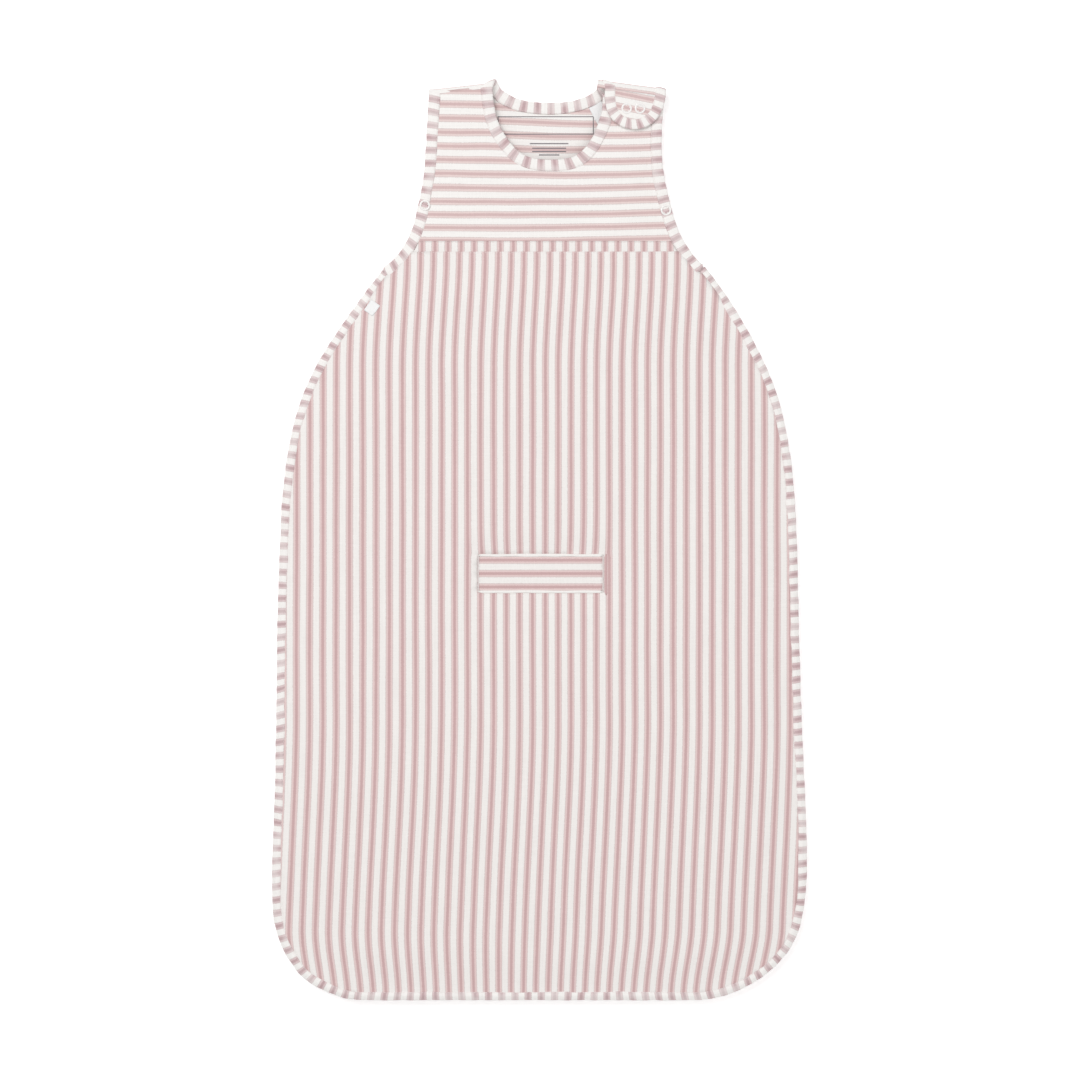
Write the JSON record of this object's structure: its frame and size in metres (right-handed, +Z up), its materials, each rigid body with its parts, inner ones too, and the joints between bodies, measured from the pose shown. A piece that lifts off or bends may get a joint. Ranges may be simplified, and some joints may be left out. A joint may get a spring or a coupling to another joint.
{
  "type": "baby sleeping bag",
  "caption": "Sleeveless baby sleeping bag lying flat, with a side and foot zip, a studded shoulder tab, studded underarms and a welted harness vent.",
  "frame": {"origin": "middle of the footprint, on the underside, with the bag lying on its back", "axes": "+X towards the viewer's right, +Y from the foot to the neck, +Z up through the thickness, out of the front"},
  "size_m": [0.4708, 0.81, 0.0182],
  "materials": {
    "striped_knit": "fine cotton jersey with narrow pale pink stripes on white",
    "binding_knit": "striped jersey cut so that its stripes run across the binding",
    "lining_knit": "plain off-white cotton jersey",
    "wool_padding": "soft needled wool wadding",
    "zip_tape": "woven polyester tape",
    "zip_coil": "nylon coil, off-white",
    "zip_slider": "white enamel on die-cast metal",
    "zip_stop": "crimped metal",
    "snap_metal": "white enamelled prong snaps",
    "woven_label": "satin-woven label, blank",
    "print_ink": "thin soft-hand ink",
    "thread": "satin-stitched thread"
  },
  "bodies": {
    "bag": {"back_skirt_outer": "striped_knit", "back_skirt_padding": "wool_padding", "back_skirt_lining": "lining_knit", "back_yoke_outer": "striped_knit", "back_yoke_lining": "striped_knit", "back_seam_band": "striped_knit", "front_skirt_outer": "striped_knit", "front_skirt_padding": "wool_padding", "front_skirt_lining": "lining_knit", "front_yoke_lining": "striped_knit", "front_yoke_outer": "striped_knit", "front_seam_band": "striped_knit", "back_edge_binding": "binding_knit", "front_edge_binding": "binding_knit", "left_armhole_binding": "binding_knit", "right_armhole_binding_front": "binding_knit", "right_armhole_binding_back": "binding_knit", "neck_binding": "binding_knit", "left_shoulder_seam": "striped_knit", "shoulder_fold": "striped_knit", "right_side_seam": "striped_knit", "left_underarm_seam": "striped_knit", "zip_tape_back": "zip_tape", "zip_chain_back": "zip_coil", "zip_tape_front": "zip_tape", "zip_chain_front": "zip_coil", "zip_underarm_stop": "zip_stop", "zip_foot_stops": "zip_stop", "vent_facing_front": "lining_knit", "vent_facing_back": "lining_knit", "vent_bartacks": "thread", "underarm_snap_rings_front": "snap_metal", "underarm_snap_sockets": "snap_metal", "underarm_snap_studs": "snap_metal", "underarm_snap_rings_back": "snap_metal", "shoulder_snap_studs": "snap_metal", "shoulder_snap_stud_rings": "snap_metal", "neck_print": "print_ink", "size_label": "woven_label"},
    "front_flap": {"front_flap_outer": "striped_knit", "front_flap_padding": "wool_padding", "front_flap_lining": "lining_knit", "front_flap_binding": "binding_knit", "zip_tape_flap": "zip_tape", "zip_chain_flap": "zip_coil"},
    "shoulder_tab": {"tab_lining": "striped_knit", "tab_outer": "striped_knit", "tab_binding": "binding_knit", "tab_snap_sockets": "snap_metal", "tab_snap_rings": "snap_metal"},
    "vent_flap": {"vent_flap": "striped_knit"},
    "zip_slider": {"zip_slider": "zip_slider"},
    "zip_pull": {"zip_pull": "zip_slider"},
    "side_label": {"side_label": "woven_label"}
  },
  "joints": [
    {"name": "front_flap_fold", "type": "hinge", "parent": "bag", "child": "front_flap", "pos_m": [-0.207, 0.13, 0.0178], "axis": [-0.5062, 0.8624, 0], "range_deg": [0, 170]},
    {"name": "shoulder_tab_fold", "type": "hinge", "parent": "bag", "child": "shoulder_tab", "pos_m": [0.08394, 0.39352, 0.00885], "axis": [-0.9909, 0.1348, 0], "range_deg": [0, 175], "deforming": ["shoulder_fold"]},
    {"name": "vent_flap_lift", "type": "hinge", "parent": "bag", "child": "vent_flap", "pos_m": [0.001, -0.0135, 0.0174], "axis": [-1, 0, 0], "range_deg": [0, 165]},
    {"name": "zip_slide", "type": "slide", "parent": "bag", "child": "zip_slider", "axis": [-1, 0, 0], "range_m": [0, 0.26]},
    {"name": "zip_pull_swing", "type": "hinge", "parent": "zip_slider", "child": "zip_pull", "pos_m": [0.1235, -0.40375, 0.0087], "axis": [0, 0, 1], "range_deg": [0, 170]},
    {"name": "side_label_flip", "type": "hinge", "parent": "bag", "child": "side_label", "pos_m": [-0.15106, 0.20684, 0.0182], "axis": [-0.59, -0.8074, 0], "range_deg": [0, 150]}
  ]
}
